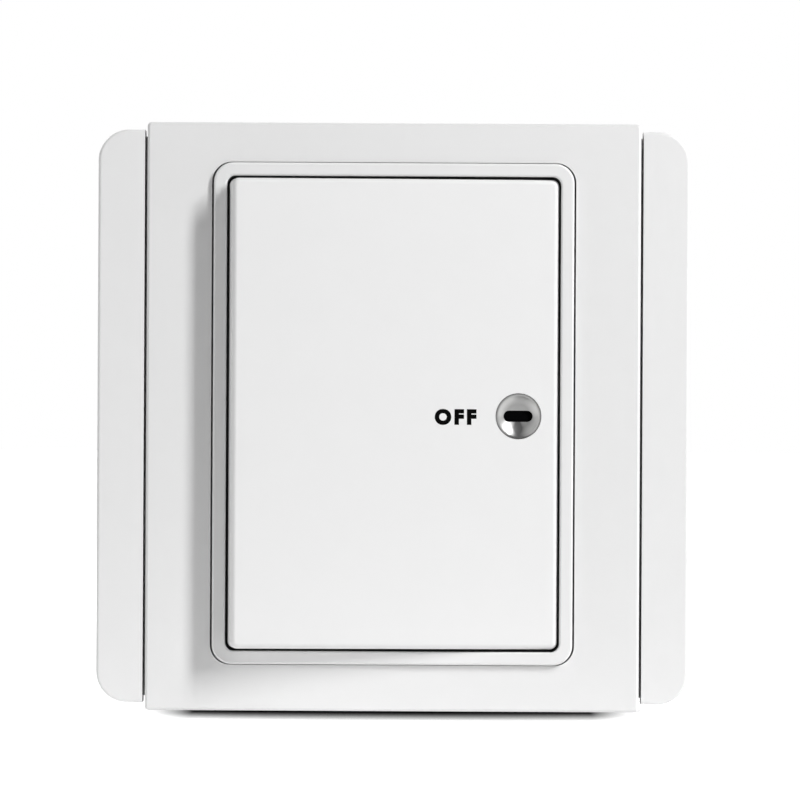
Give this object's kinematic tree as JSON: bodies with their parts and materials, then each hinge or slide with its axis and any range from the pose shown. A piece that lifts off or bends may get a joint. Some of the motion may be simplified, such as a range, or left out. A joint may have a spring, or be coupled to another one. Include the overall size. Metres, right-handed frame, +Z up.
{
  "type": "rocker wall switch",
  "caption": "White double-pole rocker wall switch on a screwless plate with side wings and a round indicator; it stands with its left side out.",
  "frame": {"origin": "middle of the two fixing screws, on the wall plane at the back of the plate", "axes": "+X to the right seen from the front, +Y into the wall, +Z up"},
  "size_m": [0.0866, 0.0384, 0.0861],
  "materials": {
    "wing_white": "satin moulded white",
    "cover_white": "satin moulded white",
    "frame_white": "satin moulded white",
    "rocker_white": "satin moulded white",
    "inner_grey": "moulded grey",
    "bright_chrome": "bright plated",
    "dark_lens": "smoked lens, unlit",
    "clear_plastic": "clear",
    "spring_steel": "drawn wire",
    "copper_alloy": "stamped copper alloy",
    "silver_contact": "silver alloy, satin",
    "brass": "bright brass",
    "plated_steel": "zinc plated",
    "housing_white": "moulded, matt",
    "board_green": "glass-fibre board",
    "resistor_buff": "lacquered",
    "lead_red": "sleeved wire"
  },
  "bodies": {
    "root": {"base_plate": "wing_white", "front_cover": "cover_white", "mechanism_frame": "frame_white", "common_strip_upper": "brass", "load_strip_upper": "brass", "fixed_contact_upper": "silver_contact", "common_terminal_upper": "brass", "load_terminal_upper": "brass", "common_strip_lower": "brass", "load_strip_lower": "brass", "fixed_contact_lower": "silver_contact", "common_terminal_lower": "brass", "load_terminal_lower": "brass", "terminal_screws": "plated_steel", "fixing_screws": "plated_steel", "mechanism_housing": "housing_white", "lamp_board": "board_green", "indicator_lamp": "clear_plastic", "lamp_resistor": "resistor_buff", "lamp_leads": "lead_red"},
    "rocker": {"rocker_cap": "rocker_white", "rocker_carrier": "inner_grey", "indicator_dish": "bright_chrome", "indicator_window": "dark_lens", "light_pipe": "clear_plastic", "plunger_spring_upper": "spring_steel", "plunger_spring_lower": "spring_steel"},
    "plunger_upper": {"plunger_upper": "inner_grey"},
    "plunger_lower": {"plunger_lower": "inner_grey"},
    "arm_upper": {"contact_arm_upper": "copper_alloy", "moving_contact_upper": "silver_contact"},
    "arm_lower": {"contact_arm_lower": "copper_alloy", "moving_contact_lower": "silver_contact"}
  },
  "joints": [
    {"name": "rocker_press", "type": "hinge", "parent": "root", "child": "rocker", "pos_m": [0, -0.00795, 0], "axis": [0, 0, -1], "range_deg": [0, 11]},
    {"name": "arm_upper_rock", "type": "hinge", "parent": "root", "child": "arm_upper", "pos_m": [0, 0.00833, 0.0135], "axis": [0, 0, -1], "range_deg": [-16, 0]},
    {"name": "plunger_upper_slide", "type": "slide", "parent": "rocker", "child": "plunger_upper", "axis": [0.0958, -0.9954, 0], "range_m": [0, 0.00035], "stiffness_N_per_m": 1000, "springref_m": -0.001},
    {"name": "arm_lower_rock", "type": "hinge", "parent": "root", "child": "arm_lower", "pos_m": [0, 0.00833, -0.0135], "axis": [0, 0, -1], "range_deg": [-16, 0]},
    {"name": "plunger_lower_slide", "type": "slide", "parent": "rocker", "child": "plunger_lower", "axis": [0.0958, -0.9954, 0], "range_m": [0, 0.00035], "stiffness_N_per_m": 1000, "springref_m": -0.001}
  ],
  "couplings": [
    {"joint": "arm_upper_rock", "follows": "rocker_press", "ratio": -1.4545},
    {"joint": "arm_lower_rock", "follows": "rocker_press", "ratio": -1.4545}
  ]
}
